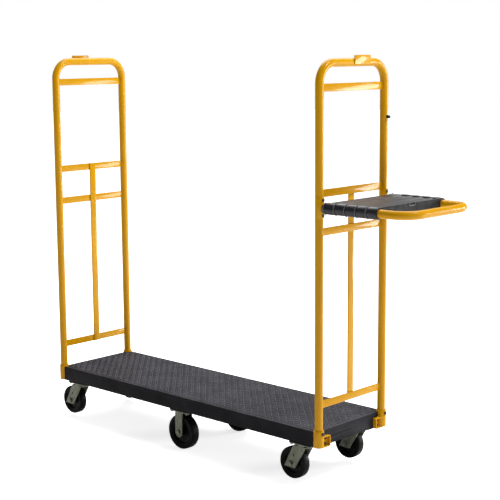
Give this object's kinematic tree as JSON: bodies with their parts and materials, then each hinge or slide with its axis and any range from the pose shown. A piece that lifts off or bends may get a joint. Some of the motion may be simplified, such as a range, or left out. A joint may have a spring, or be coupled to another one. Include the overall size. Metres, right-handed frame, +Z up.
{
  "type": "platform cart",
  "caption": "Narrow platform cart with an upright tube frame at each end, a folding tray shelf on one frame, corner swivel casters and fixed middle wheels.",
  "frame": {"origin": "middle of the cart's box at floor level, under the middle wheels' treads", "axes": "+Z up, +X along the deck towards the end with the folding shelf, +Y to the back"},
  "size_m": [1.967, 0.4288, 1.6359],
  "materials": {
    "yellow_paint": "semi-gloss golden-yellow powder coat",
    "deck_plastic": "moulded black-grey structural plastic, fine grain",
    "tray_plastic": "moulded black plastic, fine grain",
    "zinc_steel": "dull zinc-plated pressed steel",
    "axle_steel": "zinc-plated bolts",
    "black_screw": "black oxide screws",
    "tyre_rubber": "black rubber",
    "hub_plastic": "black moulded wheel core",
    "bumper_rubber": "black rubber"
  },
  "bodies": {
    "deck": {"deck": "deck_plastic", "plain_end_front_socket": "yellow_paint", "plain_end_back_socket": "yellow_paint", "shelf_end_front_socket": "yellow_paint", "shelf_end_back_socket": "yellow_paint", "socket_bolts": "black_screw", "socket_lock_screws": "black_screw", "plain_front_swivel_plate": "zinc_steel", "plain_back_swivel_plate": "zinc_steel", "shelf_front_swivel_plate": "zinc_steel", "shelf_back_swivel_plate": "zinc_steel", "swivel_bearings": "axle_steel", "kingpins": "axle_steel", "caster_plate_bolts": "axle_steel", "middle_front_fork": "zinc_steel", "middle_back_fork": "zinc_steel", "middle_front_axle": "axle_steel", "middle_back_axle": "axle_steel"},
    "plain_frame": {"plain_frame_tube": "yellow_paint", "plain_frame_crossbars": "yellow_paint", "plain_frame_strut": "yellow_paint", "plain_frame_tab": "yellow_paint"},
    "shelf_frame": {"shelf_frame_tube": "yellow_paint", "shelf_frame_crossbars": "yellow_paint", "shelf_frame_strut": "yellow_paint", "shelf_frame_tab": "yellow_paint", "front_hinge_bracket": "yellow_paint", "back_hinge_bracket": "yellow_paint", "hinge_bracket_bolts": "black_screw", "shelf_bumper": "bumper_rubber"},
    "shelf": {"shelf_tube": "yellow_paint", "shelf_tray": "tray_plastic", "shelf_pivot_pins": "axle_steel"},
    "plain_front_swivel": {"plain_front_fork": "zinc_steel", "plain_front_axle": "axle_steel"},
    "plain_front_wheel": {"plain_front_hub": "hub_plastic", "plain_front_tyre": "tyre_rubber"},
    "plain_back_swivel": {"plain_back_fork": "zinc_steel", "plain_back_axle": "axle_steel"},
    "plain_back_wheel": {"plain_back_hub": "hub_plastic", "plain_back_tyre": "tyre_rubber"},
    "shelf_front_swivel": {"shelf_front_fork": "zinc_steel", "shelf_front_axle": "axle_steel"},
    "shelf_front_wheel": {"shelf_front_hub": "hub_plastic", "shelf_front_tyre": "tyre_rubber"},
    "shelf_back_swivel": {"shelf_back_fork": "zinc_steel", "shelf_back_axle": "axle_steel"},
    "shelf_back_wheel": {"shelf_back_hub": "hub_plastic", "shelf_back_tyre": "tyre_rubber"},
    "middle_front_wheel": {"middle_front_hub": "hub_plastic", "middle_front_tyre": "tyre_rubber"},
    "middle_back_wheel": {"middle_back_hub": "hub_plastic", "middle_back_tyre": "tyre_rubber"}
  },
  "joints": [
    {"name": "plain_frame_lift", "type": "slide", "parent": "deck", "child": "plain_frame", "axis": [0, 0, 1], "range_m": [0, 0.075]},
    {"name": "shelf_frame_lift", "type": "slide", "parent": "deck", "child": "shelf_frame", "axis": [0, 0, 1], "range_m": [0, 0.075]},
    {"name": "shelf_fold", "type": "hinge", "parent": "shelf_frame", "child": "shelf", "pos_m": [0.60915, 0, 1.084], "axis": [0, -1, 0], "range_deg": [0, 90]},
    {"name": "plain_front_swivel_turn", "type": "hinge", "parent": "deck", "child": "plain_front_swivel", "pos_m": [-0.86835, -0.168, 0.167], "axis": [0, 0, 1], "continuous": true},
    {"name": "plain_front_wheel_roll", "type": "hinge", "parent": "plain_front_swivel", "child": "plain_front_wheel", "pos_m": [-0.91835, -0.168, 0.0785], "axis": [0, 1, 0], "continuous": true},
    {"name": "plain_back_swivel_turn", "type": "hinge", "parent": "deck", "child": "plain_back_swivel", "pos_m": [-0.86835, 0.168, 0.167], "axis": [0, 0, 1], "continuous": true},
    {"name": "plain_back_wheel_roll", "type": "hinge", "parent": "plain_back_swivel", "child": "plain_back_wheel", "pos_m": [-0.91835, 0.168, 0.0785], "axis": [0, 1, 0], "continuous": true},
    {"name": "shelf_front_swivel_turn", "type": "hinge", "parent": "deck", "child": "shelf_front_swivel", "pos_m": [0.47365, -0.168, 0.167], "axis": [0, 0, 1], "continuous": true},
    {"name": "shelf_front_wheel_roll", "type": "hinge", "parent": "shelf_front_swivel", "child": "shelf_front_wheel", "pos_m": [0.42365, -0.168, 0.0785], "axis": [0, 1, 0], "continuous": true},
    {"name": "shelf_back_swivel_turn", "type": "hinge", "parent": "deck", "child": "shelf_back_swivel", "pos_m": [0.47365, 0.168, 0.167], "axis": [0, 0, 1], "continuous": true},
    {"name": "shelf_back_wheel_roll", "type": "hinge", "parent": "shelf_back_swivel", "child": "shelf_back_wheel", "pos_m": [0.42365, 0.168, 0.0785], "axis": [0, 1, 0], "continuous": true},
    {"name": "middle_front_wheel_roll", "type": "hinge", "parent": "deck", "child": "middle_front_wheel", "pos_m": [-0.19735, -0.168, 0.074], "axis": [0, 1, 0], "continuous": true},
    {"name": "middle_back_wheel_roll", "type": "hinge", "parent": "deck", "child": "middle_back_wheel", "pos_m": [-0.19735, 0.168, 0.074], "axis": [0, 1, 0], "continuous": true}
  ]
}
